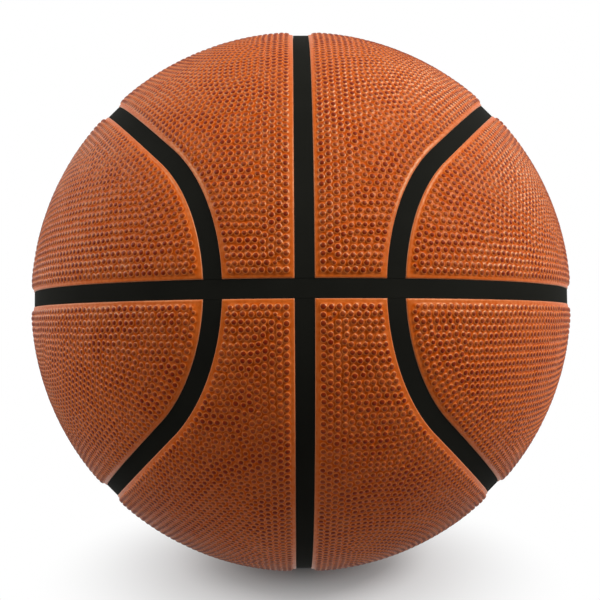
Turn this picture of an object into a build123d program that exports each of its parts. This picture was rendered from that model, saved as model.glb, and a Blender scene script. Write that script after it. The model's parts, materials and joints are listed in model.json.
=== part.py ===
from build123d import *
import os
from math import acos, atan2, cos, radians, sin, sqrt

# Basketball with eight cover panels, black channel strips, a moulded carcass, a thread winding,
# a bladder and a self-sealing valve. Millimetres and degrees. The origin is the ball's centre,
# +Z is up, the vertical line lies in the plane X = 0 and the equator in the plane Z = 0.

# Ball and its layers, from the outside in
ball_diameter = 240.0
channel_depth = 1.5
strip_thickness = 0.9
bond_gap = 0.15
carcass_thickness = 1.2
winding_thickness = 0.6
bladder_thickness = 0.8

# Lines on the cover: the gap along the equator from the vertical line to a curved line,
# and the angle between the long side of a curved line and the equator
loop_gap = 29.0
loop_lean = 45.0

# Section of a channel, of the strip in it and of the panels' rolled edges beside it
channel_width = 6.2
strip_side_gap = 0.1
shoulder_radius = 18.0

# Valve housing, in the middle of the upper right centre panel
stem_diameter = 8.4
stem_recess = 0.8
stem_hole_gap = 0.3
stem_hole_round = 0.8
flange_diameter = 34.0
flange_rim = 0.6
barrel_diameter = 11.0
barrel_overhang = 2.0
barrel_root_round = 1.5

# Valve core: its guide hole for a pump needle, and the closed rubber below the hole
core_diameter = 5.0
core_gap = 0.05
core_head_diameter = 6.4
core_head_height = 1.5
needle_diameter = 2.0
needle_depth = 9.0
funnel_diameter = 3.4
funnel_depth = 1.0
seal_length = 6.5
core_tip_diameter = 3.2
core_tip_length = 3.0

# Overrun of every cut past the surface it cuts
overrun = 1.0

# Radii of the layers
ball_radius = ball_diameter / 2
strip_top_radius = ball_radius - channel_depth
cover_inner_radius = strip_top_radius - strip_thickness
carcass_radius = cover_inner_radius - bond_gap
carcass_inner_radius = carcass_radius - carcass_thickness
winding_radius = carcass_inner_radius - bond_gap
winding_inner_radius = winding_radius - winding_thickness
bladder_radius = winding_inner_radius - bond_gap
bladder_inner_radius = bladder_radius - bladder_thickness
flange_curve_radius = bladder_inner_radius - bond_gap

ball_centre = (0, 0, 0)
front = Vector(0, -1, 0)
leftward = Vector(-1, 0, 0)
upward = Vector(0, 0, 1)
quarter_turn = 90
half_turn = 180
full_turn = 360


def sweep_angle(axis, start, end):
    """Degrees turned about an axis from one direction to another."""
    from_start = start - axis * axis.dot(start)
    to_end = end - axis * axis.dot(end)
    return from_start.get_angle(to_end)


def curved_line_legs():
    """The upper half of the right curved line, as three turns about axes through the ball's centre.

    It leaves the equator on a small circle, runs over the side of the ball on a great circle and
    comes down to the equator again at the rear. The circles meet in a common tangent. Each leg is
    a start direction, an axis and an angle.
    """
    gap_angle = loop_gap / ball_radius
    lean = radians(loop_lean)
    turn_angle = atan2(cos(gap_angle) - sin(lean), sin(gap_angle))
    foot = Vector(sin(gap_angle), -cos(gap_angle), 0)
    turn_axis = Vector(-cos(turn_angle), sin(turn_angle), 0)
    over_axis = Vector(-sin(lean), 0, cos(lean))
    summit = Vector(cos(lean), 0, sin(lean))
    meeting_point = (over_axis * turn_axis.dot(over_axis) - turn_axis).normalized()

    turn_sweep = sweep_angle(turn_axis, foot, meeting_point)
    over_sweep = 2 * sweep_angle(over_axis, meeting_point, summit)
    rear_meeting_point = Vector(meeting_point.X, -meeting_point.Y, meeting_point.Z)
    rear_turn_axis = Vector(turn_axis.X, -turn_axis.Y, turn_axis.Z)
    return [
        (foot, turn_axis, turn_sweep),
        (meeting_point, over_axis, over_sweep),
        (rear_meeting_point, rear_turn_axis, turn_sweep),
    ]


def section_plane(start, axis):
    """The plane across a line: X runs out from the ball's centre, Y lies along the surface."""
    return Plane(origin=ball_centre, x_dir=start, z_dir=start.cross(axis))


def channel_section(start, axis):
    """Slot for a strip, opening outwards between the rolled edges of two panels."""
    half_width = channel_width / 2
    roll_angle = acos(1 - channel_depth / shoulder_radius)
    shoulder_end = half_width + shoulder_radius * sin(roll_angle)
    with BuildSketch(section_plane(start, axis)) as section:
        with BuildLine():
            Polyline(
                (cover_inner_radius - overrun, 0),
                (cover_inner_radius - overrun, half_width),
                (strip_top_radius, half_width),
            )
            RadiusArc((strip_top_radius, half_width), (ball_radius, shoulder_end), shoulder_radius)
            Polyline(
                (ball_radius, shoulder_end),
                (ball_radius + overrun, shoulder_end),
                (ball_radius + overrun, 0),
            )
            mirror(about=Plane.XZ)
        make_face()
    return section.sketch


def strip_section(start, axis):
    """Flat rubber strip that fills the foot of a channel."""
    strip_width = channel_width - 2 * strip_side_gap
    with BuildSketch(section_plane(start, axis)) as section:
        with Locations((cover_inner_radius, 0)):
            Rectangle(strip_thickness, strip_width, align=(Align.MIN, Align.CENTER))
    return section.sketch


os.makedirs("parts", exist_ok=True)
right_curve = curved_line_legs()
above_equator = Plane.XY.offset(channel_width / 2)

# Valve: its sections are drawn with X as the distance from the valve's axis and Y along the axis
valve_lean = (quarter_turn - loop_lean) / 2
valve_direction = Vector(sin(radians(valve_lean)), 0, cos(radians(valve_lean)))
valve_side = Vector(cos(radians(valve_lean)), 0, -sin(radians(valve_lean)))
valve_axis = Axis(ball_centre, valve_direction)
valve_plane = Plane(origin=ball_centre, x_dir=valve_side, z_dir=valve_direction)
valve_section_plane = Plane(origin=ball_centre, x_dir=valve_side, z_dir=front)
stem_top = ball_radius - stem_recess
head_bottom = stem_top - core_head_height
core_bottom = stem_top - needle_depth - seal_length

# Tool that cuts the valve's hole through every layer
with BuildPart() as valve_hole:
    with BuildSketch(valve_plane):
        Circle(stem_diameter / 2 + stem_hole_gap)
    extrude(amount=ball_radius + overrun)

# Tools that cut the channels
with BuildPart() as equator_channel:
    revolve(channel_section(front, upward), axis=Axis.Z, revolution_arc=full_turn)

with BuildPart() as vertical_channel:
    revolve(channel_section(front, leftward), axis=Axis.X, revolution_arc=full_turn)

with BuildPart() as curved_channels:
    for start, axis, angle in right_curve:
        revolve(channel_section(start, axis), axis=Axis(ball_centre, axis), revolution_arc=angle)
    mirror(about=Plane.XY)
    mirror(about=Plane.YZ)

# Cover, cut into eight panels by the channels
with BuildPart() as cover:
    Sphere(ball_radius)
    Sphere(cover_inner_radius, mode=Mode.SUBTRACT)
    add(equator_channel.part, mode=Mode.SUBTRACT)
    add(vertical_channel.part, mode=Mode.SUBTRACT)
    add(curved_channels.part, mode=Mode.SUBTRACT)

# Panels, found by their middles: right or left, up or down, and the rise from the equator
side_rise = loop_lean / 2
centre_rise = quarter_turn - valve_lean
panel_middles = {
    "upper_left_side_panel": (-1, 1, side_rise),
    "upper_left_centre_panel": (-1, 1, centre_rise),
    "upper_right_side_panel": (1, 1, side_rise),
    "upper_right_centre_panel": (1, 1, centre_rise),
    "lower_left_side_panel": (-1, -1, side_rise),
    "lower_left_centre_panel": (-1, -1, centre_rise),
    "lower_right_side_panel": (1, -1, side_rise),
    "lower_right_centre_panel": (1, -1, centre_rise),
}
for label, (across, up, rise) in panel_middles.items():
    middle = Vector(across * cos(radians(rise)), 0, up * sin(radians(rise))) * ball_radius
    with BuildPart() as panel:
        add(cover.part.solids().sort_by_distance(middle)[0])
        if label == "upper_right_centre_panel":
            add(valve_hole.part, mode=Mode.SUBTRACT)
            hole_rims = panel.edges(Select.LAST).filter_by(GeomType.CIRCLE)
            fillet(hole_rims.sort_by(valve_axis)[-1], radius=stem_hole_round)
    panel.part.label = label
    export_step(panel.part, f"parts/{label}.step")

# Channel strips: a whole ring round the equator, with the others butted against it
with BuildPart() as equator_strip:
    revolve(strip_section(front, upward), axis=Axis.Z, revolution_arc=full_turn)
equator_strip.part.label = "equator_strip"
export_step(equator_strip.part, "parts/equator_strip.step")

with BuildPart() as upper_vertical_strip:
    vertical_section = strip_section(front, leftward)
    revolve(vertical_section, axis=Axis(ball_centre, leftward), revolution_arc=half_turn)
    split(bisect_by=above_equator, keep=Keep.TOP)
upper_vertical_strip.part.label = "upper_vertical_strip"
export_step(upper_vertical_strip.part, "parts/upper_vertical_strip.step")

with BuildPart() as lower_vertical_strip:
    mirror(upper_vertical_strip.part, about=Plane.XY)
lower_vertical_strip.part.label = "lower_vertical_strip"
export_step(lower_vertical_strip.part, "parts/lower_vertical_strip.step")

with BuildPart() as upper_right_curve_strip:
    for start, axis, angle in right_curve:
        revolve(strip_section(start, axis), axis=Axis(ball_centre, axis), revolution_arc=angle)
    split(bisect_by=above_equator, keep=Keep.TOP)
upper_right_curve_strip.part.label = "upper_right_curve_strip"
export_step(upper_right_curve_strip.part, "parts/upper_right_curve_strip.step")

with BuildPart() as lower_right_curve_strip:
    mirror(upper_right_curve_strip.part, about=Plane.XY)
lower_right_curve_strip.part.label = "lower_right_curve_strip"
export_step(lower_right_curve_strip.part, "parts/lower_right_curve_strip.step")

with BuildPart() as upper_left_curve_strip:
    mirror(upper_right_curve_strip.part, about=Plane.YZ)
upper_left_curve_strip.part.label = "upper_left_curve_strip"
export_step(upper_left_curve_strip.part, "parts/upper_left_curve_strip.step")

with BuildPart() as lower_left_curve_strip:
    mirror(lower_right_curve_strip.part, about=Plane.YZ)
lower_left_curve_strip.part.label = "lower_left_curve_strip"
export_step(lower_left_curve_strip.part, "parts/lower_left_curve_strip.step")

# Shells under the cover
with BuildPart() as carcass:
    Sphere(carcass_radius)
    Sphere(carcass_inner_radius, mode=Mode.SUBTRACT)
    add(valve_hole.part, mode=Mode.SUBTRACT)
carcass.part.label = "carcass"
export_step(carcass.part, "parts/carcass.step")

with BuildPart() as winding:
    Sphere(winding_radius)
    Sphere(winding_inner_radius, mode=Mode.SUBTRACT)
    add(valve_hole.part, mode=Mode.SUBTRACT)
winding.part.label = "winding"
export_step(winding.part, "parts/winding.step")

with BuildPart() as bladder:
    Sphere(bladder_radius)
    Sphere(bladder_inner_radius, mode=Mode.SUBTRACT)
    add(valve_hole.part, mode=Mode.SUBTRACT)
bladder.part.label = "bladder"
export_step(bladder.part, "parts/bladder.step")

# Valve housing: a stem through the layers, a flange inside the bladder and a barrel for the core
with BuildPart() as valve_housing:
    stem_radius = stem_diameter / 2
    flange_radius = flange_diameter / 2
    barrel_radius = barrel_diameter / 2
    bore_radius = core_diameter / 2 + core_gap
    head_bore_radius = core_head_diameter / 2 + core_gap
    head_seat = head_bottom - core_gap
    stem_foot = sqrt(flange_curve_radius**2 - stem_radius**2)
    flange_top = sqrt(flange_curve_radius**2 - flange_radius**2)
    flange_bottom = flange_top - flange_rim
    barrel_bottom = core_bottom - barrel_overhang
    with BuildSketch(valve_section_plane) as housing_section:
        with BuildLine():
            Polyline(
                (stem_radius, stem_foot),
                (stem_radius, stem_top),
                (head_bore_radius, stem_top),
                (head_bore_radius, head_seat),
                (bore_radius, head_seat),
                (bore_radius, barrel_bottom),
                (barrel_radius, barrel_bottom),
                (barrel_radius, flange_bottom),
                (flange_radius, flange_bottom),
                (flange_radius, flange_top),
            )
            RadiusArc((flange_radius, flange_top), (stem_radius, stem_foot), -flange_curve_radius)
        make_face()
        barrel_root = housing_section.vertices().sort_by_distance((barrel_radius, flange_bottom))[0]
        fillet(barrel_root, radius=barrel_root_round)
    revolve(axis=valve_axis, revolution_arc=full_turn)
valve_housing.part.label = "valve_housing"
export_step(valve_housing.part, "parts/valve_housing.step")

# Valve core: a head in the top of the stem, a shank in the bore and the needle's guide hole
with BuildPart() as valve_core:
    core_radius = core_diameter / 2
    core_head_radius = core_head_diameter / 2
    core_tip_radius = core_tip_diameter / 2
    needle_radius = needle_diameter / 2
    funnel_radius = funnel_diameter / 2
    with BuildSketch(valve_section_plane):
        with BuildLine():
            Polyline(
                (0, core_bottom),
                (core_tip_radius, core_bottom),
                (core_radius, core_bottom + core_tip_length),
                (core_radius, head_bottom),
                (core_head_radius, head_bottom),
                (core_head_radius, stem_top),
                (funnel_radius, stem_top),
                (needle_radius, stem_top - funnel_depth),
                (needle_radius, stem_top - needle_depth),
                (0, stem_top - needle_depth),
                close=True,
            )
        make_face()
    revolve(axis=valve_axis, revolution_arc=full_turn)
valve_core.part.label = "valve_core"
export_step(valve_core.part, "parts/valve_core.step")
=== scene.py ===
"""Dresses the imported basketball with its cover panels, channel strips, inner layers and valve.

Lengths are in metres and angles in radians. Places on the ball are worked out on a sphere of radius
one, so an offset from a channel line is an angle, and a length becomes an angle when it is divided by
the ball's radius.
"""

import json
import math

import bpy
import numpy as np
from bpy.props import FloatProperty, FloatVectorProperty, IntProperty, PointerProperty
from mathutils import Matrix, Quaternion, Vector
from mathutils.geometry import delaunay_2d_cdt
from mathutils.kdtree import KDTree


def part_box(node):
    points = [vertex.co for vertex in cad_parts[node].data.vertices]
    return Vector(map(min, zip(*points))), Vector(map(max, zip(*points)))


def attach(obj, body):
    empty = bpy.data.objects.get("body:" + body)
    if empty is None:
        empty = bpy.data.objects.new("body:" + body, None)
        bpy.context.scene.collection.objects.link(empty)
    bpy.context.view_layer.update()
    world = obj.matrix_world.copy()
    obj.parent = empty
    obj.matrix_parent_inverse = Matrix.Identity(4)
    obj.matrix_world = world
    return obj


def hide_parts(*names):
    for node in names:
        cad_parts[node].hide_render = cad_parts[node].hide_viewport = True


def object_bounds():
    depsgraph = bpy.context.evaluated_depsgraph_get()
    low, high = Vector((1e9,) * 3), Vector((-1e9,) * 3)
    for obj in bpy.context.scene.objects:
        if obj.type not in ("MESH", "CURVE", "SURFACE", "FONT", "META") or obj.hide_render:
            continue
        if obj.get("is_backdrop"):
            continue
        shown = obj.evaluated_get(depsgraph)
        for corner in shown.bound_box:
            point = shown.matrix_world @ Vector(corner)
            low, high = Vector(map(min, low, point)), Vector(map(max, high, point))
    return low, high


bl_info = {
    "name": "Basketball finish",
    "version": (1, 0, 0),
    "blender": (4, 5, 0),
    "location": "View3D > Sidebar > Basketball",
    "description": "Pebbled cover, channels, inner layers, valve and studio of a basketball",
    "category": "Object",
}

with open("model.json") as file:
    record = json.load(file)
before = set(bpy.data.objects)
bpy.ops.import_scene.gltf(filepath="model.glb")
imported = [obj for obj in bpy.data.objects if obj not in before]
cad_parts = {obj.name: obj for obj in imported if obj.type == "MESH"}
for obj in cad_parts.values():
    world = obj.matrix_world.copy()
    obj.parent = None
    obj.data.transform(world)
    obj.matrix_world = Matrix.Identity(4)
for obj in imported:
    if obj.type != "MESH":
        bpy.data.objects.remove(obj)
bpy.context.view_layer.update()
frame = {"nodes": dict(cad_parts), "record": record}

X_AXIS = np.array((1.0, 0.0, 0.0))
Y_AXIS = np.array((0.0, 1.0, 0.0))
Z_AXIS = np.array((0.0, 0.0, 1.0))
FULL_TURN = 2.0 * math.pi
GOLDEN_TURN = math.pi * (3.0 - math.sqrt(5.0))
NEAR_POLE = 0.9
WHITE = (1.0, 1.0, 1.0, 1.0)
BAKE_MAP = "OFBake"

STRIPS = (
    "equator_strip",
    "upper_vertical_strip",
    "lower_vertical_strip",
    "upper_left_curve_strip",
    "upper_right_curve_strip",
    "lower_left_curve_strip",
    "lower_right_curve_strip",
)

# Each place on the ball and the half turn that carries a panel there from the upper right.
HALF_TURNS = {
    "upper_right": None,
    "upper_left": "Z",
    "lower_right": "X",
    "lower_left": "Y",
}
VALVE_PLACE = "upper_right"

# Layout of the pebbles: counts, and shares of their pitch or of the step from row to row.
OUTLINE_PARTS = 8.0
CROWDED_SHARE = 0.66
PUSH_REACH = 1.3
PUSH_EASE = 0.3
PUSH_NEIGHBOURS = 7
PUSH_ROUNDS = 10
PUSH_STEPS = 6
HELD_ROWS = 2
ROW_OVERLAP = 0.3
HOLE_CLEARANCE = 0.5

# Form of a pebble. Each ring of points round its top has a share of the foot's radius, a height as a
# share of the pebble's, and a number of points. The limits hold back the draws for its width, and its
# foot as a share of the gap to the nearest pebble.
PEBBLE_RINGS = ((0.66, 0.86, 8), (1.0, 0.0, 11))
PEBBLE_NEIGHBOURS = 6
WIDTH_LIMIT = 2.0
FOOT_LIMIT = 0.485
HEIGHT_SPREAD = 4.0
SADDLE_REACH = 0.3

# Form of a panel: the rings of points in its smooth margin, its drop at the rim and at the lip of the
# valve's hole, the pebble level that colours its margin, and the lining's distance from its border.
MARGIN_RINGS = (0.5, 0.8)
HOLE_POINTS = 48
RIM_DROP = 0.85
LIP_DROP = 0.7
# At this level the smooth margin takes much of the painted valley shade.
MARGIN_SHADE = 0.18
LINING_GAP = 0.4
SMOOTH_ANGLE = math.radians(62.0)

# Room on the bake map for a panel's outer and inner face, each a size and a low corner, and the width
# of the hem for its walls.
FRONT_ROOM = ((0.98, 0.78), (0.01, 0.2))
REAR_ROOM = ((0.98, 0.15), (0.01, 0.01))
HEM_WIDTH = 0.004

# Finish of the cover: scales of its noise, levels of a pebble's height, and the ranges of its values.
PATCH_SCALE = 22.0
PATCH_RANGE = (0.35, 0.65)
# Painted shade in the valleys between the pebbles: this noise makes it stronger in some places and weaker
# in others.
VALLEY_SHADE_SCALE = 800.0
VALLEY_SHADE_RANGE = (0.4, 0.6)
VALLEY_SHADE_STRENGTH = (0.6, 1.0)
# Painted shade on each pebble's top: a dark dot, its strength varied by this noise.
TOP_SHADE_SCALE = 110.0
TOP_SHADE_RANGE = (0.36, 0.62)
TOP_SHADE_STRENGTH = (0.78, 0.98)
# Levels of a pebble where the painted valley shade, the painted shoulder highlight and the painted top
# shade come in.
VALLEY_LEVELS = (0.05, 0.45)
SHOULDER_LEVELS = (0.3, 0.5)
TOP_LEVELS = (0.5, 0.8)
GRAIN_SCALE = 2600.0
COVER_ROUGHNESS = (0.38, 0.52)
COVER_GLOSS = (0.66, 0.02)
COVER_TINT = (1.0, 0.93, 0.56, 1.0)
COVER_BUMP = (0.25, 0.00004)
TOP_SHADE_DULLNESS = 0.85
SHEEN_WEIGHT = 0.04
SHEEN_ROUGHNESS = 0.5
SHEEN_TINT = (1.0, 0.8, 0.45, 1.0)

# Finish of the rubbers: each one's roughness, scale of grain and gloss.
RUBBERS = {
    "matte_black": (0.85, 1500.0, 0.03),
    "carcass_rubber": (0.75, 900.0, 0.3),
    "bladder_butyl": (0.4, 400.0, 0.5),
    "valve_rubber": (0.5, 1200.0, 0.4),
    "core_rubber": (0.45, 1600.0, 0.4),
}
CLOUD_SCALE = 60.0
CLOUD_LIGHT = 1.25
CLOUD_DARK = 0.8
ROUGHNESS_SPREAD = 0.08
RUBBER_BUMP = (0.3, 0.00003)
CORE_LIGHT = 1.7

# Finish of the winding: the directions of its thread, then the thread's scale, waver and look.
THREAD_TURNS = ((0.3, 0.2, 0.1), (1.2, 0.5, 0.9), (0.4, 1.4, 1.9))
THREAD_SCALE = 260.0
THREAD_WAVER = 0.6
THREAD_DARK = 0.35
THREAD_ROUGHNESS = 0.7
THREAD_BUMP = (0.6, 0.0002)

# Each light's place, in degrees to the right of the front and upwards.
LIGHT_PLACES = {
    "right": (58.0, 38.0),
    "left": (-58.0, 39.0),
    "left_edge": (-100.0, 20.0),
    "right_edge": (105.0, 20.0),
    "back": (180.0, 8.0),
}
FLOOR_SIZE = 12.0
FLOOR_ROUGHNESS = 0.9
FLOOR_MIRROR_RANGE = (-0.11, -0.03)
BACKDROP_RANGE = (-0.5, 0.1)
PICTURE_SIZE = 600.0
SENSOR_WIDTH = 36.0
CLIP_START = 0.01


def node_radii(name):
    """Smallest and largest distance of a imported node's points from the ball's centre."""
    lengths = [point.co.length for point in frame["nodes"][name].data.vertices]
    return min(lengths), max(lengths)


def mount_axis(name):
    """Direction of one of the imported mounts."""
    for mount in frame["record"]["mounts"]:
        if mount["name"] == name:
            return np.array(mount["axis"])
    raise ValueError(f"the packed record has no mount named {name}")


INNER_RADIUS, BALL_RADIUS = node_radii("upper_left_side_panel")
STRIP_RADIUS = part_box("equator_strip")[1].x
CHANNEL_HALF_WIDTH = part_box("upper_left_side_panel")[0].z
VALVE_AXIS = mount_axis("needle_bore")


class CoverSizes(bpy.types.PropertyGroup):
    """Sizes of the pebbled cover panels and of the lines between them."""

    loop_gap: FloatProperty(
        name="Loop gap",
        description="From the vertical line to a curved line, along the equator",
        default=0.029,
        unit="LENGTH",
    )
    loop_lean: FloatProperty(
        name="Loop lean",
        description="Height of a curved line above the equator, at the side of the ball",
        default=math.radians(45.0),
        subtype="ANGLE",
    )
    pebble_pitch: FloatProperty(
        name="Pebble pitch",
        description="Distance between neighbouring pebbles in a row",
        default=0.0025,
        unit="LENGTH",
    )
    pebble_row: FloatProperty(
        name="Pebble row",
        description="Distance from one row of pebbles to the next",
        default=0.00217,
        unit="LENGTH",
    )
    pebble_width: FloatProperty(
        name="Pebble width",
        description="Diameter of a pebble at its foot",
        default=0.00238,
        unit="LENGTH",
    )
    pebble_height: FloatProperty(
        name="Pebble height",
        description="Height of a pebble above the valleys",
        default=0.00066,
        unit="LENGTH",
    )
    unevenness: FloatProperty(
        name="Unevenness",
        description="How much the pebbles differ in place and width, as a share of the pitch",
        default=0.03,
        subtype="FACTOR",
    )
    saddle_level: FloatProperty(
        name="Saddle level",
        description="Height of the skin where two pebbles touch, as a share of a pebble's height",
        default=0.36,
        subtype="FACTOR",
    )
    edge_rows: IntProperty(
        name="Rows along the edge",
        description="Rows of pebbles that follow the panel's outline",
        default=5,
    )
    first_row: FloatProperty(
        name="First row",
        description="From the panel's edge to the middle of the first row of pebbles",
        default=0.0025,
        unit="LENGTH",
    )
    margin_level: FloatProperty(
        name="Margin level",
        description="Height of a panel's edge above the valleys, as a share of a pebble's height",
        default=0.3,
        subtype="FACTOR",
    )
    pillow_reach: FloatProperty(
        name="Pillow reach",
        description="How far in from its edge a panel curves down",
        default=0.0055,
        unit="LENGTH",
    )
    pillow_power: FloatProperty(
        name="Pillow power",
        description="How sharply a panel curves down towards its edge",
        default=1.8,
    )
    edge_step: FloatProperty(
        name="Edge step",
        description="Height of a panel's bevelled rim above the black strip",
        default=0.00026,
        unit="LENGTH",
    )
    rim_width: FloatProperty(
        name="Rim width",
        description="Width of the pale rim along a panel's edge",
        default=0.0003,
        unit="LENGTH",
    )
    valve_hole: FloatProperty(
        name="Valve hole",
        description="Radius of the hole for the valve",
        default=0.0045,
        unit="LENGTH",
    )
    valve_lip: FloatProperty(
        name="Valve lip",
        description="Width of the rounded lip of the valve hole",
        default=0.0009,
        unit="LENGTH",
    )
    valve_ring: FloatProperty(
        name="Valve ring",
        description="From the edge of the valve hole to the first ring of pebbles",
        default=0.0031,
        unit="LENGTH",
    )
    mesh_step: FloatProperty(
        name="Mesh step",
        description="Spacing of points along a panel's edge",
        default=0.001,
        unit="LENGTH",
    )
    lining_step: FloatProperty(
        name="Lining step",
        description="Spacing of points on a panel's inner face",
        default=0.008,
        unit="LENGTH",
    )
    seed: IntProperty(
        name="Seed",
        description="Start of the random draws for the pebbles",
        default=7,
    )


def colour_property(name, description, default):
    """A colour in linear light."""
    return FloatVectorProperty(
        name=name, description=description, subtype="COLOR", size=3, min=0.0, max=1.0, default=default
    )


class BallColours(bpy.types.PropertyGroup):
    """Colours of the ball's materials, in linear light."""

    cover: colour_property("Cover", "Orange of the cover", (0.63, 0.136, 0.012))
    mottle: colour_property("Mottle", "Redder patches of the cover", (0.58, 0.116, 0.009))
    # Painted shade: the skin between the pebbles is coloured darker, where shade falls.
    valley_shade: colour_property("Valley", "Deeper orange between the pebbles", (0.47, 0.071, 0.003))
    # Painted shade: a dark dot on each pebble's top stands in for the shaded lower side and cast shadow of
    # the pebble.
    top_shade: colour_property("Spot", "Darker top of a pebble", (0.17, 0.0085, 0.0001))
    # Painted highlight: a paler ring on each pebble's shoulder stands in for light catching its flanks.
    shoulder_highlight: colour_property("Highlight", "Paler orange of a pebble's rubbed shoulder", (0.62, 0.139, 0.016))
    # The pale rim is partly the bare cut edge of the cover and partly a painted highlight where the edge
    # catches light.
    rim: colour_property("Rim", "Pale rim along a panel's edge", (0.50, 0.18, 0.085))
    strip: colour_property("Strip", "Black channel strips", (0.0095, 0.0095, 0.0075))
    carcass: colour_property("Carcass", "Rubber carcass under the cover", (0.030, 0.030, 0.030))
    thread: colour_property("Thread", "Nylon thread of the winding", (0.72, 0.70, 0.62))
    bladder: colour_property("Bladder", "Butyl bladder", (0.020, 0.020, 0.022))
    valve: colour_property("Valve", "Rubber of the valve", (0.014, 0.014, 0.013))


class StageSettings(bpy.types.PropertyGroup):
    """Camera, lights and floor."""

    camera_distance: FloatProperty(
        name="Camera distance",
        description="From the ball's centre to the camera",
        default=0.324,
        unit="LENGTH",
    )
    camera_lens: FloatProperty(
        name="Lens",
        description="Focal length in millimetres",
        default=40.66,
        unit="CAMERA",
    )
    camera_azimuth: FloatProperty(
        name="Azimuth",
        description="Turn of the camera to the right of straight ahead",
        default=math.radians(-0.58),
        subtype="ANGLE",
    )
    camera_elevation: FloatProperty(
        name="Elevation",
        description="Height of the camera above the ball's centre",
        default=math.radians(-2.01),
        subtype="ANGLE",
    )
    camera_roll: FloatProperty(
        name="Roll",
        description="Turn of the camera about its line of sight",
        default=math.radians(-0.37),
        subtype="ANGLE",
    )
    camera_shift: FloatVectorProperty(
        name="Shift",
        description="Shift of the picture to the right and up, as a share of its width",
        size=2,
        default=(-0.9 / PICTURE_SIZE, 1.9 / PICTURE_SIZE),
    )
    right_power: FloatProperty(
        name="Right light", description="Light from above, to the right", default=15.6, unit="POWER"
    )
    left_power: FloatProperty(
        name="Left light", description="Light from above, to the left", default=7.7, unit="POWER"
    )
    left_edge_power: FloatProperty(
        name="Left edge light", description="Light along the ball's left edge", default=3.0, unit="POWER"
    )
    right_edge_power: FloatProperty(
        name="Right edge light", description="Light along the ball's right edge", default=0.2, unit="POWER"
    )
    back_power: FloatProperty(
        name="Back light", description="Light on the ball's far side", default=9.0, unit="POWER"
    )
    light_distance: FloatProperty(
        name="Light distance", description="From the ball's centre to a light", default=1.2, unit="LENGTH"
    )
    light_size: FloatProperty(
        name="Light size", description="Side of a square light", default=0.3, unit="LENGTH"
    )
    ambient: FloatProperty(
        name="Ambient",
        description="Light from all round, where 1 is white",
        default=0.085,
        subtype="FACTOR",
    )
    room_level: FloatProperty(
        name="Room",
        description="Brightness of the room behind the camera in reflections",
        default=0.03,
        subtype="FACTOR",
    )
    floor_colour: colour_property("Floor", "Pale floor", (0.38, 0.38, 0.38))
    shadow_start: FloatProperty(
        name="Shadow start",
        description="Distance from the ball's foot up to which the floor shows its full shadow",
        default=0.0,
        unit="LENGTH",
    )
    shadow_end: FloatProperty(
        name="Shadow end",
        description="Distance from the ball's foot past which the floor shows white",
        default=0.12,
        unit="LENGTH",
    )


def unit(points):
    """The points moved onto the sphere of radius one."""
    return points / np.linalg.norm(points, axis=-1, keepdims=True)


def direction(azimuth, elevation):
    """Direction from the ball's centre, turned to the right of the front and then upwards."""
    level = math.cos(elevation)
    return Vector((math.sin(azimuth) * level, -math.cos(azimuth) * level, math.sin(elevation)))


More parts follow.
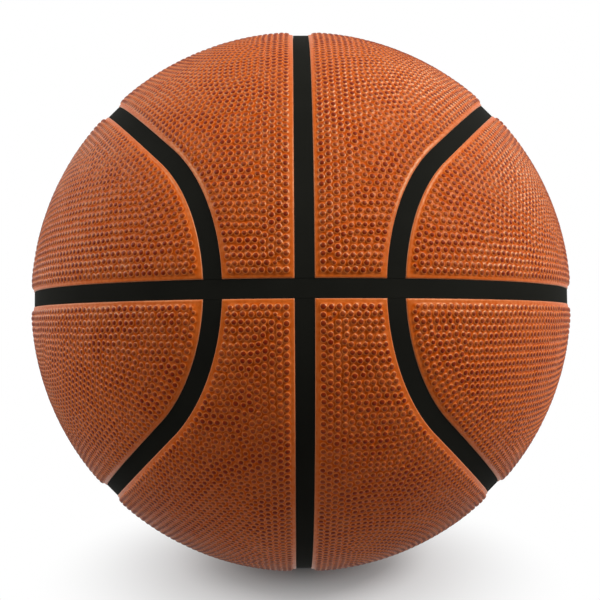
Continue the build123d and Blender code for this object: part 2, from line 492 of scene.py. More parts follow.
class Seams:
    """The lines of the ball on a sphere of radius one.

    The equator is z = 0 and the vertical line is x = 0. A curved line leaves the equator beside the
    vertical line, turns on a circle about turn_centre and then follows the great circle whose pole is
    side_pole. The lines are symmetric, so the sums use the octant in which x, y and z are positive.
    """

    def __init__(self, sizes):
        foot = sizes.loop_gap / BALL_RADIUS
        self.lean = sizes.loop_lean
        self.turn_angle = math.atan2(math.cos(foot) - math.sin(self.lean), math.sin(foot))
        self.turn_reach = math.pi / 2 - foot - self.turn_angle
        self.turn_centre = np.array((math.cos(self.turn_angle), math.sin(self.turn_angle), 0.0))
        self.side_pole = np.array((math.sin(self.lean), 0.0, -math.cos(self.lean)))
        touch = unit(self.turn_centre - self.side_pole * (self.turn_centre @ self.side_pole))
        self.turn_way = unit(touch - self.turn_centre * (touch @ self.turn_centre))
        self.sector = np.cross(self.turn_centre, self.side_pole)
        foot_point = np.array((math.sin(foot), math.cos(foot), 0.0))
        self.sector *= np.sign(self.sector @ foot_point)

    def loop_offset(self, folded):
        """Angle from the curved line, positive on the side panel's side."""
        turn = self.turn_reach - np.arccos(np.clip(folded @ self.turn_centre, -1.0, 1.0))
        straight = np.arcsin(np.clip(folded @ self.side_pole, -1.0, 1.0))
        return np.where(folded @ self.sector > 0.0, turn, straight)

    def side_offset(self, points):
        """Angle from the nearest line, positive on a side panel."""
        folded = np.abs(points)
        return np.minimum(np.arcsin(np.clip(folded[:, 2], 0.0, 1.0)), self.loop_offset(folded))

    def centre_offset(self, points):
        """Angle from the nearest line, positive on a centre panel."""
        folded = np.abs(points)
        straight = np.arcsin(np.clip(np.minimum(folded[:, 0], folded[:, 2]), 0.0, 1.0))
        return np.minimum(straight, -self.loop_offset(folded))

    def loop_arcs(self, offset):
        """The curved line at an offset into the side panel: its corner, its two arcs and its end."""
        reach = self.turn_reach - offset
        rise = abs(offset)
        corner = self.turn_angle + math.acos(math.cos(reach) / math.cos(rise))
        start = np.array(
            (math.cos(rise) * math.cos(corner), math.cos(rise) * math.sin(corner), math.sin(rise))
        )
        touch = math.cos(reach) * self.turn_centre + math.sin(reach) * self.turn_way
        side = self.lean - offset
        end = np.array((math.cos(side), 0.0, math.sin(side)))
        return start, ((self.turn_centre, start, touch), (self.side_pole, touch, end)), end

    def side_outline(self, offset, step):
        """Outline of the upper right side panel at an offset from its lines."""
        first = np.array((math.cos(offset), 0.0, math.sin(offset)))
        corner, arcs, last = self.loop_arcs(offset)
        return mirrored_outline(((Z_AXIS, first, corner), *arcs), last, step)

    def centre_outline(self, offset, step):
        """Outline of the upper right centre panel at an offset from its lines."""
        low = math.sin(offset)
        first = np.array((low, 0.0, math.cos(offset)))
        crossing = np.array((low, math.sqrt(1.0 - 2.0 * low * low), low))
        corner, arcs, last = self.loop_arcs(-offset)
        return mirrored_outline(((X_AXIS, first, crossing), (Z_AXIS, crossing, corner), *arcs), last, step)


def arc_points(pole, start, end, step):
    """Points from start towards end, without end, on the circle about a pole."""
    middle = pole * (start @ pole)
    along = start - middle
    across = np.cross(pole, along)
    target = end - pole * (end @ pole)
    turn = math.atan2(target @ across, target @ along)
    count = max(1, round(abs(turn) * np.linalg.norm(along) / step))
    angles = turn * np.arange(count)[:, None] / count
    return middle + np.cos(angles) * along + np.sin(angles) * across


def mirrored_outline(arcs, last, step):
    """A closed outline from the arcs of its half where y is positive."""
    half = np.vstack([arc_points(*arc, step) for arc in arcs] + [last[None]])
    return np.vstack((half, half[-2:0:-1] * (1.0, -1.0, 1.0)))


def tangents(points):
    """Two directions along the sphere at each point, square to each other."""
    guide = np.where(np.abs(points[:, 1:2]) < NEAR_POLE, Y_AXIS, Z_AXIS)
    first = unit(np.cross(guide, points))
    return first, np.cross(points, first)


def ring_points(axis, reach, count):
    """Points on a circle about an axis, clockwise as seen from outside the ball."""
    first, second = tangents(axis[None])
    angles = -FULL_TURN * np.arange(count)[:, None] / count
    return math.cos(reach) * axis + math.sin(reach) * (np.cos(angles) * first + np.sin(angles) * second)


def spread_points(spacing, turn):
    """Evenly spread points on the whole sphere, turned by a quaternion.

    Each has about the area of one cell of a honeycomb with that spacing.
    """
    count = round(4.0 * math.pi / (spacing * spacing * math.sqrt(3.0) / 2.0))
    index = np.arange(count)
    height = 1.0 - 2.0 * (index + 0.5) / count
    width = np.sqrt(1.0 - height * height)
    angle = GOLDEN_TURN * index
    points = np.column_stack((width * np.cos(angle), width * np.sin(angle), height))
    return points @ np.array(turn.to_matrix()).T


def even_walk(outline, spacing, phase):
    """Points at an even spacing along a closed outline."""
    closed = np.vstack((outline, outline[:1]))
    walked = np.concatenate(((0.0,), np.cumsum(np.linalg.norm(np.diff(closed, axis=0), axis=1))))
    count = round(walked[-1] / spacing)
    stops = (np.arange(count) + phase) * walked[-1] / count
    return unit(np.column_stack([np.interp(stops, walked, closed[:, axis]) for axis in range(3)]))


def point_tree(points):
    """A search tree of points."""
    tree = KDTree(len(points))
    for index, point in enumerate(points):
        tree.insert(point, index)
    tree.balance()
    return tree


def neighbour_table(points, count):
    """Indices of each point's nearest neighbours."""
    tree = point_tree(points)
    return np.array([[found[1] for found in tree.find_n(point, count + 1)][1:] for point in points])


def thin_out(points, least):
    """Mask of the points that stay once each point has dropped the later ones that crowd it."""
    tree = point_tree(points)
    stays = np.ones(len(points), bool)
    for index, point in enumerate(points):
        if stays[index]:
            for found in tree.find_range(point, least):
                if found[1] > index:
                    stays[found[1]] = False
    return stays


def settle(points, held, spacing):
    """Lets points push each other apart until they are evenly spaced. Those that are held stay."""
    reach = PUSH_REACH * spacing
    ease = PUSH_EASE * spacing
    for _ in range(PUSH_ROUNDS):
        near = neighbour_table(points, PUSH_NEIGHBOURS)
        for _ in range(PUSH_STEPS):
            away = points[:, None] - points[near]
            gap = np.linalg.norm(away, axis=2, keepdims=True)
            push = (away / gap * np.clip(1.0 - gap / reach, 0.0, None)).sum(axis=1)
            push[held] = 0.0
            points = unit(points + ease * push)
    return points


def in_first_octants(points):
    """Mask of the points on the quarter of the ball that holds the upper right panels."""
    return (points[:, 0] > 0.0) & (points[:, 2] > 0.0)


def place_pebbles(panel, sizes, draws):
    """Middles of a panel's pebbles: rows that follow its outline, then an even spread inside them."""
    pitch = sizes.pebble_pitch / BALL_RADIUS
    row_step = sizes.pebble_row / BALL_RADIUS
    first = panel["edge"] + sizes.first_row / BALL_RADIUS
    rows = []
    if panel["hole"] is not None:
        reach = (sizes.valve_hole + sizes.valve_ring) / BALL_RADIUS
        rows.append(ring_points(VALVE_AXIS, reach, round(FULL_TURN * math.sin(reach) / pitch)))
    for row in range(sizes.edge_rows):
        outline = panel["outline"](first + row * row_step, pitch / OUTLINE_PARTS)
        half_step = 0.5 * (row % 2)
        rows.append(even_walk(outline, pitch, half_step))
    fixed = sum(len(row) for row in rows[: len(rows) - sizes.edge_rows + HELD_ROWS])
    turn = Quaternion(unit(draws.normal(size=4)))
    spread = spread_points(math.sqrt(pitch * row_step * 2.0 / math.sqrt(3.0)), turn)
    inside = first + (sizes.edge_rows - ROW_OVERLAP) * row_step
    spread = spread[in_first_octants(spread)]
    rows.append(spread[panel["offset"](spread) > inside])
    points = np.vstack(rows)
    held = np.arange(len(points)) < fixed
    if panel["hole"] is not None:
        clear = points @ VALVE_AXIS < math.cos(reach + HOLE_CLEARANCE * row_step)
        clear[: len(rows[0])] = True
        points, held = points[clear], held[clear]
    stays = thin_out(points, CROWDED_SHARE * pitch)
    settled = settle(points[stays], held[stays], pitch)
    return unit(settled + sizes.unevenness * pitch * draws.normal(size=settled.shape))


def flatten(points, middle):
    """The points on a flat map about a panel's middle that keeps angles, the panel's long way across."""
    across = unit(np.cross(middle, np.cross(Y_AXIS, middle)))
    upward = np.cross(middle, across)
    scale = 2.0 / (1.0 + points @ middle)
    return np.column_stack((points @ across * scale, points @ upward * scale))


def loop_edges(loops):
    """Edges that close each run of points into a loop, numbered from one loop on to the next."""
    edges = []
    for loop in loops:
        first = len(edges)
        edges += [(first + index, first + (index + 1) % len(loop)) for index in range(len(loop))]
    return edges


def triangles_inside(flat, edges):
    """Triangles between flat points, inside the loops of edges."""
    result = delaunay_2d_cdt([Vector(point) for point in flat], edges, [], 1, 0.0)
    source = np.array([found[0] for found in result[3]])
    return source[np.array(result[2])]


def outside_hole(points, faces, reach):
    """The faces that don't lie in the valve's hole."""
    middles = unit(points[faces].mean(axis=1))
    return faces[middles @ VALVE_AXIS < math.cos(reach)]


def panel_skin(panel, sizes, draws):
    """Points of a panel's pebbles, with the height and the level of each.

    Both are shares of a pebble's height. The height differs from pebble to pebble, and the level, which
    colours the pebble, doesn't.
    """
    pebbles = place_pebbles(panel, sizes, draws)
    near = neighbour_table(pebbles, PEBBLE_NEIGHBOURS)
    gap = np.linalg.norm(pebbles - pebbles[near[:, 0]], axis=1)
    widths = draws.standard_normal(len(pebbles)).clip(-WIDTH_LIMIT, WIDTH_LIMIT)
    jitter = 1.0 + sizes.unevenness * widths
    foot = np.minimum(0.5 * sizes.pebble_width / BALL_RADIUS * jitter, FOOT_LIMIT * gap)
    tall = 1.0 - HEIGHT_SPREAD * sizes.unevenness * draws.random(len(pebbles))
    start = FULL_TURN * draws.random(len(pebbles))
    first, second = tangents(pebbles)
    points = [pebbles]
    levels = [np.ones(len(pebbles))]
    for share, height, count in PEBBLE_RINGS:
        for corner in range(count):
            angle = start + FULL_TURN * corner / count
            aside = np.cos(angle)[:, None] * first + np.sin(angle)[:, None] * second
            place = unit(pebbles + aside * (share * foot)[:, None])
            room = np.linalg.norm(place[:, None] - pebbles[near], axis=2).min(axis=1)
            saddle = sizes.saddle_level * np.clip(1.0 - (room / foot - 1.0) / SADDLE_REACH, 0.0, 1.0)
            points.append(place)
            levels.append(np.maximum(saddle, height))
    levels = np.concatenate(levels)
    return np.vstack(points), levels * np.tile(tall, len(points)), levels


def panel_rings(panel, sizes, margin):
    """Loops of points along a panel's edge and round its hole, on the border and then further in."""
    rings = []
    for inset in (0.0, sizes.rim_width, *(share * margin for share in MARGIN_RINGS)):
        angle = inset / BALL_RADIUS
        rings.append(panel["outline"](panel["edge"] + angle, sizes.mesh_step / BALL_RADIUS))
        if panel["hole"] is not None:
            rings.append(ring_points(VALVE_AXIS, panel["hole"] + angle, HOLE_POINTS))
    return rings


def skin_radius(panel, sizes, margin, skin, heights):
    """Distance of each outer point from the ball's centre, and how far it belongs to the pale rim."""
    inset = np.maximum(panel["offset"](skin) - panel["edge"], 0.0) * BALL_RADIUS
    from_edge = inset
    depth = BALL_RADIUS - (1.0 - sizes.margin_level) * sizes.pebble_height - STRIP_RADIUS - sizes.edge_step
    drop = depth * np.clip(1.0 - inset / sizes.pillow_reach, 0.0, 1.0) ** sizes.pillow_power
    rim = np.clip(1.0 - inset / sizes.rim_width, 0.0, 1.0)
    drop += RIM_DROP * sizes.edge_step * rim
    if panel["hole"] is not None:
        from_hole = (np.arccos(np.clip(skin @ VALVE_AXIS, -1.0, 1.0)) - panel["hole"]) * BALL_RADIUS
        from_edge = np.minimum(inset, from_hole)
        lip = np.clip(1.0 - from_hole / sizes.valve_lip, 0.0, 1.0)
        drop += sizes.valve_lip * lip**2 * LIP_DROP
    share = sizes.margin_level * np.clip(1.0 - from_edge / margin, 0.0, 1.0)
    share[len(skin) - len(heights) :] = heights
    return BALL_RADIUS - (1.0 - share) * sizes.pebble_height - drop, rim


def panel_lining(panel, sizes, border):
    """Points of a panel's inner face: its border, then an even spread inside."""
    gap = LINING_GAP * sizes.lining_step / BALL_RADIUS
    lining = spread_points(sizes.lining_step / BALL_RADIUS, Quaternion())
    lining = lining[in_first_octants(lining)]
    lining = lining[panel["offset"](lining) > panel["edge"] + gap]
    if panel["hole"] is not None:
        lining = lining[lining @ VALVE_AXIS < math.cos(panel["hole"] + gap)]
    return np.vstack((border, lining))


def panel_walls(flat, loops, first_foot):
    """Edges of a panel's border in their order round it, and the triangles of its walls."""
    tops = np.array(loop_edges(loops))
    outer = slice(len(loops[0]))
    start, end = flat[tops[outer, 0]], flat[tops[outer, 1]]
    if (start[:, 0] * end[:, 1] - start[:, 1] * end[:, 0]).sum() < 0.0:
        tops[outer] = tops[outer, ::-1]
    feet = tops + first_foot
    lower = np.column_stack((tops[:, 0], feet[:, 0], feet[:, 1]))
    upper = np.column_stack((tops[:, 0], feet[:, 1], tops[:, 1]))
    return tops, np.vstack((lower, upper))


def panel_map(flat, back_flat, tops, faces, walls, back_faces):
    """Places of all face corners on the bake map: outer face above, inner face below, walls as a hem."""
    low, high = flat.min(axis=0), flat.max(axis=0)
    front = (flat - low) / (high - low) * FRONT_ROOM[0] + FRONT_ROOM[1]
    rear = (back_flat - low) / (high - low) * REAR_ROOM[0] + REAR_ROOM[1]
    along = unit(front[tops[:, 1]] - front[tops[:, 0]])
    outward = np.zeros((len(tops), 2))
    outward[tops[:, 0]] = HEM_WIDTH * np.column_stack((along[:, 1], -along[:, 0]))
    hem = np.vstack((front, front[: len(tops)] + outward))
    return np.vstack((front[faces.ravel()], hem[walls.ravel()], rear[back_faces.ravel()]))


def panel_mesh(name, panel, sizes, draws):
    """A closed mesh of one panel: pebbled outer face, smooth margins, walls and a plain inner face.

    It is mesh code, because no chain of operators gives pebbles that follow a panel's curved outline.
    """
    margin = sizes.first_row - 0.5 * sizes.pebble_width
    rings = panel_rings(panel, sizes, margin)
    loops = rings[:1] if panel["hole"] is None else rings[:2]
    smooth = np.vstack(rings)
    pebbled, heights, levels = panel_skin(panel, sizes, draws)
    skin = np.vstack((smooth, pebbled))
    radius, rim = skin_radius(panel, sizes, margin, skin, heights)
    level = np.concatenate((np.full(len(smooth), MARGIN_SHADE), levels))
    back = panel_lining(panel, sizes, np.vstack(loops))

    flat = flatten(skin, panel["middle"])
    back_flat = flatten(back, panel["middle"])
    faces = triangles_inside(flat, loop_edges(rings))
    back_faces = triangles_inside(back_flat, loop_edges(loops))
    if panel["hole"] is not None:
        faces = outside_hole(skin, faces, panel["hole"])
        back_faces = outside_hole(back, back_faces, panel["hole"])
    back_faces = back_faces[:, ::-1]
    tops, walls = panel_walls(flat, loops, len(skin))

    mesh = bpy.data.meshes.new(name)
    corners = np.vstack((skin * radius[:, None], back * INNER_RADIUS))
    mesh.from_pydata(corners, [], np.vstack((faces, walls, back_faces + len(skin))))
    spare = np.zeros(len(back))
    for title, values in (("pebble", level), ("rim", rim)):
        layer = mesh.attributes.new(title, "FLOAT", "POINT")
        layer.data.foreach_set("value", np.concatenate((values, spare)).astype(np.float32))
    places = panel_map(flat, back_flat, tops, faces, walls, back_faces)
    mesh.uv_layers.new(name=BAKE_MAP).uv.foreach_set("vector", places.astype(np.float32).ravel())
    mesh.validate()
    return mesh


def shader(name):
    """A new material with its node tree and its Principled shader."""
    material = bpy.data.materials.new(name)
    material.use_nodes = True
    tree = material.node_tree
    return material, tree, tree.nodes["Principled BSDF"]


def add_place(tree, kind="Object"):
    """Coordinates of a point, on its object if nothing else is named."""
    return tree.nodes.new("ShaderNodeTexCoord").outputs[kind]


def add_parts(tree, vector):
    """The parts of a vector along x, y and z."""
    parts = tree.nodes.new("ShaderNodeSeparateXYZ")
    tree.links.new(vector, parts.inputs["Vector"])
    return parts.outputs


def add_noise(tree, scale, detail=4.0):
    """Noise on Object coordinates."""
    noise = tree.nodes.new("ShaderNodeTexNoise")
    noise.inputs["Scale"].default_value = scale
    noise.inputs["Detail"].default_value = detail
    tree.links.new(add_place(tree), noise.inputs["Vector"])
    return noise.outputs["Fac"]


def add_ramp(tree, value, low, high, from_low=0.0, from_high=1.0):
    """A value stretched from one range to another."""
    ramp = tree.nodes.new("ShaderNodeMapRange")
    ramp.inputs["From Min"].default_value = from_low
    ramp.inputs["From Max"].default_value = from_high
    ramp.inputs["To Min"].default_value = low
    ramp.inputs["To Max"].default_value = high
    tree.links.new(value, ramp.inputs["Value"])
    return ramp.outputs["Result"]


def add_mix(tree, factor, first, second):
    """A blend of two colours, each a socket or a plain colour."""
    mix = tree.nodes.new("ShaderNodeMix")
    mix.data_type = "RGBA"
    tree.links.new(factor, mix.inputs["Factor"])
    for socket, colour in ((mix.inputs[6], first), (mix.inputs[7], second)):
        if isinstance(colour, bpy.types.NodeSocket):
            tree.links.new(colour, socket)
        else:
            socket.default_value = (*colour, 1.0)
    return mix.outputs[2]


def add_math(tree, operation, first, second):
    """One value from two, such as their product or the larger one."""
    node = tree.nodes.new("ShaderNodeMath")
    node.operation = operation
    tree.links.new(first, node.inputs[0])
    tree.links.new(second, node.inputs[1])
    return node.outputs["Value"]


def add_attribute(tree, name):
    """A value stored on the mesh."""
    node = tree.nodes.new("ShaderNodeAttribute")
    node.attribute_name = name
    return node.outputs["Fac"]


def add_bump(tree, principled, height, strength, distance):
    """Fine relief from a height value."""
    bump = tree.nodes.new("ShaderNodeBump")
    bump.inputs["Strength"].default_value = strength
    bump.inputs["Distance"].default_value = distance
    tree.links.new(height, bump.inputs["Height"])
    tree.links.new(bump.outputs["Normal"], principled.inputs["Normal"])


def add_rays(tree):
    """Two values that are one for rays from the camera and for mirrored or refracted rays."""
    rays = tree.nodes.new("ShaderNodeLightPath")
    mirrored = add_math(tree, "MAXIMUM", rays.outputs["Is Glossy Ray"], rays.outputs["Is Transmission Ray"])
    return rays.outputs["Is Camera Ray"], mirrored


def cover_material(colours):
    """Pebbled cover: orange with redder patches, painted shade in the valleys and on the pebbles' tops, a
    painted highlight on their shoulders, a pale rim that is partly a painted highlight, and a soft sheen.
    """
    material, tree, principled = shader("pebbled_cover")
    patches = add_ramp(tree, add_noise(tree, PATCH_SCALE), 0.0, 1.0, *PATCH_RANGE)
    ground = add_mix(tree, patches, tuple(colours.cover), tuple(colours.mottle))
    level = add_attribute(tree, "pebble")
    # Painted shade in the valleys between the pebbles, from the pebble level and a noise for its strength.
    valley_shade_strength = add_ramp(tree, add_noise(tree, VALLEY_SHADE_SCALE, 0.0), *VALLEY_SHADE_STRENGTH, *VALLEY_SHADE_RANGE)
    low = add_math(tree, "MULTIPLY", add_ramp(tree, level, 1.0, 0.0, *VALLEY_LEVELS), valley_shade_strength)
    ground = add_mix(tree, low, ground, tuple(colours.valley_shade))
    # Painted highlight: the pebbles' shoulders are coloured paler, as where light catches their flanks.
    shoulder = add_ramp(tree, level, 0.0, 1.0, *SHOULDER_LEVELS)
    highlit = add_mix(tree, shoulder, ground, tuple(colours.shoulder_highlight))
    # Painted shade: a dark dot on the top of every pebble, stronger in some places than in others.
    strength = add_ramp(tree, add_noise(tree, TOP_SHADE_SCALE, 1.0), *TOP_SHADE_STRENGTH, *TOP_SHADE_RANGE)
    top_shade_mask = add_math(tree, "MULTIPLY", add_ramp(tree, level, 0.0, 1.0, *TOP_LEVELS), strength)
    skin = add_mix(tree, top_shade_mask, highlit, tuple(colours.top_shade))
    # Pale rim along the panel's edge: partly the bare cut edge's colour, partly a painted highlight.
    edged = add_mix(tree, add_attribute(tree, "rim"), skin, tuple(colours.rim))
    tree.links.new(edged, principled.inputs["Base Color"])
    grain = add_noise(tree, GRAIN_SCALE, 2.0)
    tree.links.new(add_ramp(tree, grain, *COVER_ROUGHNESS), principled.inputs["Roughness"])
    # The gloss falls away where shade is painted, in the valleys and on the pebbles' tops.
    matte = add_math(tree, "MAXIMUM", low, add_ramp(tree, top_shade_mask, 0.0, TOP_SHADE_DULLNESS))
    tree.links.new(add_ramp(tree, matte, *COVER_GLOSS), principled.inputs["Specular IOR Level"])
    principled.inputs["Specular Tint"].default_value = COVER_TINT
    principled.inputs["Sheen Weight"].default_value = SHEEN_WEIGHT
    principled.inputs["Sheen Roughness"].default_value = SHEEN_ROUGHNESS
    principled.inputs["Sheen Tint"].default_value = SHEEN_TINT
    add_bump(tree, principled, grain, *COVER_BUMP)
    return material


def rubber_material(name, colour):
    """Dark rubber with a fine grain and faint cloudy patches."""
    roughness, grain_scale, gloss = RUBBERS[name]
    material, tree, principled = shader(name)
    cloud = add_noise(tree, CLOUD_SCALE)
    light = tuple(min(1.0, CLOUD_LIGHT * part) for part in colour)
    dark = tuple(CLOUD_DARK * part for part in colour)
    tree.links.new(add_mix(tree, cloud, dark, light), principled.inputs["Base Color"])
    grain = add_noise(tree, grain_scale, 2.0)
    rough = add_ramp(tree, grain, roughness - ROUGHNESS_SPREAD, roughness + ROUGHNESS_SPREAD)
    tree.links.new(rough, principled.inputs["Roughness"])
    principled.inputs["Specular IOR Level"].default_value = gloss
    add_bump(tree, principled, grain, *RUBBER_BUMP)
    return material


def winding_material(colour):
    """Nylon thread wound round the bladder in three directions."""
    material, tree, principled = shader("wound_thread")
    place = add_place(tree)
    threads = None
    for turn in THREAD_TURNS:
        mapping = tree.nodes.new("ShaderNodeMapping")
        mapping.inputs["Rotation"].default_value = turn
        tree.links.new(place, mapping.inputs["Vector"])
        wave = tree.nodes.new("ShaderNodeTexWave")
        wave.inputs["Scale"].default_value = THREAD_SCALE
        wave.inputs["Distortion"].default_value = THREAD_WAVER
        tree.links.new(mapping.outputs["Vector"], wave.inputs["Vector"])
        if threads is None:
            threads = wave.outputs["Fac"]
        else:
            threads = add_math(tree, "MAXIMUM", threads, wave.outputs["Fac"])
    dark = tuple(THREAD_DARK * part for part in colour)
    tree.links.new(add_mix(tree, threads, dark, tuple(colour)), principled.inputs["Base Color"])
    principled.inputs["Roughness"].default_value = THREAD_ROUGHNESS
    add_bump(tree, principled, threads, *THREAD_BUMP)
    return material


def dress(name, material):
    """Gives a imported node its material."""
    slots = frame["nodes"][name].data.materials
    slots.clear()
    slots.append(material)


class BALL_OT_cover_panels(bpy.types.Operator):
    """Model the eight pebbled panels of the cover"""

    bl_idname = "ball.cover_panels"
    bl_label = "Cover panels"

    def execute(self, context):
        sizes = context.scene.ball_cover
        seams = Seams(sizes)
        draws = np.random.default_rng(sizes.seed)
        edge = math.asin(CHANNEL_HALF_WIDTH / STRIP_RADIUS)
        side_angle = seams.lean / 2.0
        centre_angle = (seams.lean + math.pi / 2.0) / 2.0
        side = {
            "outline": seams.side_outline,
            "offset": seams.side_offset,
            "middle": np.array((math.cos(side_angle), 0.0, math.sin(side_angle))),
            "edge": edge,
            "hole": None,
        }
        centre = {
            "outline": seams.centre_outline,
            "offset": seams.centre_offset,
            "middle": np.array((math.cos(centre_angle), 0.0, math.sin(centre_angle))),
            "edge": edge,
            "hole": None,
        }
        valve = {**centre, "hole": sizes.valve_hole / BALL_RADIUS}
        meshes = {
            "side": panel_mesh("side_panel", side, sizes, draws),
            "centre": panel_mesh("centre_panel", centre, sizes, draws),
            "valve": panel_mesh("valve_panel", valve, sizes, draws),
        }
        material = cover_material(context.scene.ball_colours)
        for place, axis in HALF_TURNS.items():
            for kind in ("side", "centre"):
                source = "valve" if (place, kind) == (VALVE_PLACE, "centre") else kind
                self.add_panel(f"{place}_{kind}_panel", meshes[source], axis, material)
        for mesh in meshes.values():
            bpy.data.meshes.remove(mesh)
        return {"FINISHED"}

    def add_panel(self, node, source, axis, material):
        """Copies a panel's mesh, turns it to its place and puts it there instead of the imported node."""
        mesh = source.copy()
        if axis:
            mesh.transform(Matrix.Rotation(math.pi, 4, axis))
        mesh.materials.append(material)
        panel = bpy.data.objects.new(f"{node}_pebbled", mesh)
        bpy.context.scene.collection.objects.link(panel)
        bpy.ops.object.select_all(action="DESELECT")
        panel.select_set(True)
        bpy.context.view_layer.objects.active = panel
        bpy.ops.object.shade_smooth_by_angle(angle=SMOOTH_ANGLE)
        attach(panel, "ball")
        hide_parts(node)


class BALL_OT_channel_strips(bpy.types.Operator):
    """Finish the black strips in the channels"""

    bl_idname = "ball.channel_strips"
    bl_label = "Channel strips"

    def execute(self, context):
        material = rubber_material("matte_black", context.scene.ball_colours.strip)
        for strip in STRIPS:
            dress(strip, material)
        return {"FINISHED"}


class BALL_OT_inner_layers(bpy.types.Operator):
    """Finish the carcass, the winding and the bladder"""

    bl_idname = "ball.inner_layers"
    bl_label = "Inner layers"

    def execute(self, context):
        colours = context.scene.ball_colours
        dress("carcass", rubber_material("carcass_rubber", colours.carcass))
        dress("winding", winding_material(colours.thread))
        dress("bladder", rubber_material("bladder_butyl", colours.bladder))
        return {"FINISHED"}


class BALL_OT_valve(bpy.types.Operator):
    """Finish the valve's housing and its core"""

    bl_idname = "ball.valve"
    bl_label = "Valve"

    def execute(self, context):
        colours = context.scene.ball_colours
        core_colour = tuple(CORE_LIGHT * part for part in colours.valve)
        dress("valve_housing", rubber_material("valve_rubber", colours.valve))
        dress("valve_core", rubber_material("core_rubber", core_colour))
        return {"FINISHED"}


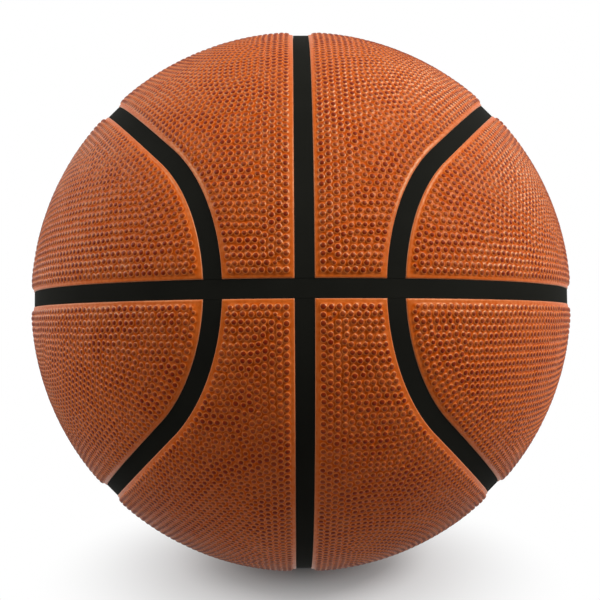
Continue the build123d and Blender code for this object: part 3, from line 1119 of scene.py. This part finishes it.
class BALL_OT_stage(bpy.types.Operator):
    """Set the floor, the lights and the camera"""

    bl_idname = "ball.stage"
    bl_label = "Stage"

    def execute(self, context):
        settings = context.scene.ball_stage
        context.scene.view_settings.view_transform = "Standard"
        self.add_floor(settings)
        self.add_world(context.scene, settings)
        for side, (azimuth, elevation) in LIGHT_PLACES.items():
            self.add_light(side, settings, azimuth, elevation)
        self.add_camera(context.scene, settings)
        return {"FINISHED"}

    def add_floor(self, settings):
        """A pale floor that keeps the ball's shadow and turns white away from it."""
        bpy.ops.object.select_all(action="DESELECT")
        bpy.ops.mesh.primitive_plane_add(size=FLOOR_SIZE, location=(0.0, 0.0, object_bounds()[0].z))
        floor = bpy.context.object
        floor.name = "floor"
        bpy.ops.object.transform_apply(location=True, rotation=False, scale=False)
        material, tree, principled = shader("pale_floor")
        principled.inputs["Base Color"].default_value = (*settings.floor_colour, 1.0)
        principled.inputs["Roughness"].default_value = FLOOR_ROUGHNESS
        principled.inputs["Specular IOR Level"].default_value = 0.0
        place = add_place(tree)
        flat = tree.nodes.new("ShaderNodeVectorMath")
        flat.operation = "MULTIPLY"
        flat.inputs[1].default_value = (1.0, 1.0, 0.0)
        tree.links.new(place, flat.inputs[0])
        away = tree.nodes.new("ShaderNodeVectorMath")
        away.operation = "LENGTH"
        tree.links.new(flat.outputs["Vector"], away.inputs[0])
        fade = add_ramp(tree, away.outputs["Value"], 0.0, 1.0, settings.shadow_start, settings.shadow_end)
        fade.node.interpolation_type = "SMOOTHSTEP"
        behind = add_ramp(tree, add_parts(tree, place)["Y"], 0.0, 1.0, *FLOOR_MIRROR_RANGE)
        camera, mirrored = add_rays(tree)
        pictured = add_math(tree, "MULTIPLY", fade, camera)
        seen = add_math(tree, "MAXIMUM", pictured, add_math(tree, "MULTIPLY", behind, mirrored))
        white = tree.nodes.new("ShaderNodeEmission")
        white.inputs["Color"].default_value = WHITE
        white.inputs["Strength"].default_value = 1.0
        mix = tree.nodes.new("ShaderNodeMixShader")
        tree.links.new(seen, mix.inputs["Fac"])
        tree.links.new(principled.outputs["BSDF"], mix.inputs[1])
        tree.links.new(white.outputs["Emission"], mix.inputs[2])
        tree.links.new(mix.outputs["Shader"], tree.nodes["Material Output"].inputs["Surface"])
        floor.data.materials.append(material)
        floor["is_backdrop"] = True

    def add_world(self, scene, settings):
        """A white backdrop behind the ball, a dim room behind the camera and a faint even light."""
        world = bpy.data.worlds.new("white_studio")
        world.use_nodes = True
        tree = world.node_tree
        background = tree.nodes["Background"]
        background.inputs["Color"].default_value = WHITE
        depth = add_parts(tree, add_place(tree, "Generated"))["Y"]
        backdrop = add_ramp(tree, depth, settings.room_level, 1.0, *BACKDROP_RANGE)
        camera, mirrored = add_rays(tree)
        reflected = add_ramp(tree, mirrored, settings.ambient, 1.0)
        tree.links.new(backdrop, reflected.node.inputs["To Max"])
        tree.links.new(add_math(tree, "MAXIMUM", camera, reflected), background.inputs["Strength"])
        scene.world = world

    def add_light(self, side, settings, azimuth, elevation):
        """A square soft light aimed at the ball, its place in degrees to the right of the front and up."""
        place = direction(math.radians(azimuth), math.radians(elevation))
        aim = (-place).to_track_quat("-Z", "Y")
        location = place * settings.light_distance
        bpy.ops.object.light_add(type="AREA", location=location, rotation=aim.to_euler())
        light = bpy.context.object
        light.name = f"{side}_light"
        light.data.shape = "SQUARE"
        light.data.size = settings.light_size
        light.data.energy = getattr(settings, f"{side}_power")

    def add_camera(self, scene, settings):
        """The camera at the picture's viewing angle."""
        back = direction(settings.camera_azimuth, settings.camera_elevation)
        aim = (-back).to_track_quat("-Z", "Y") @ Quaternion((0.0, 0.0, 1.0), settings.camera_roll)
        bpy.ops.object.camera_add(location=back * settings.camera_distance, rotation=aim.to_euler())
        camera = bpy.context.object
        camera.name = "front_camera"
        camera.data.sensor_width = SENSOR_WIDTH
        camera.data.lens = settings.camera_lens
        camera.data.shift_x, camera.data.shift_y = settings.camera_shift
        camera.data.clip_start = CLIP_START
        scene.camera = camera


class BALL_PT_sidebar(bpy.types.Panel):
    """Buttons and sizes of the basketball"""

    bl_idname = "BALL_PT_sidebar"
    bl_label = "Basketball"
    bl_space_type = "VIEW_3D"
    bl_region_type = "UI"
    bl_category = "Basketball"

    def draw(self, context):
        for operator in OPERATORS:
            self.layout.operator(operator.bl_idname)
        for group in (context.scene.ball_cover, context.scene.ball_colours, context.scene.ball_stage):
            box = self.layout.box()
            for name in group.__annotations__:
                box.prop(group, name)


GROUPS = {"ball_cover": CoverSizes, "ball_colours": BallColours, "ball_stage": StageSettings}
OPERATORS = (
    BALL_OT_cover_panels,
    BALL_OT_channel_strips,
    BALL_OT_inner_layers,
    BALL_OT_valve,
    BALL_OT_stage,
)


def register():
    for name, group in GROUPS.items():
        bpy.utils.register_class(group)
        setattr(bpy.types.Scene, name, PointerProperty(type=group))
    for cls in (*OPERATORS, BALL_PT_sidebar):
        bpy.utils.register_class(cls)


def unregister():
    for cls in (BALL_PT_sidebar, *reversed(OPERATORS)):
        bpy.utils.unregister_class(cls)
    for name, group in GROUPS.items():
        delattr(bpy.types.Scene, name)
        bpy.utils.unregister_class(group)


def main():
    register()
    bpy.ops.ball.cover_panels()
    bpy.ops.ball.channel_strips()
    bpy.ops.ball.inner_layers()
    bpy.ops.ball.valve()
    bpy.ops.ball.stage()


if __name__ == "__main__":
    main()
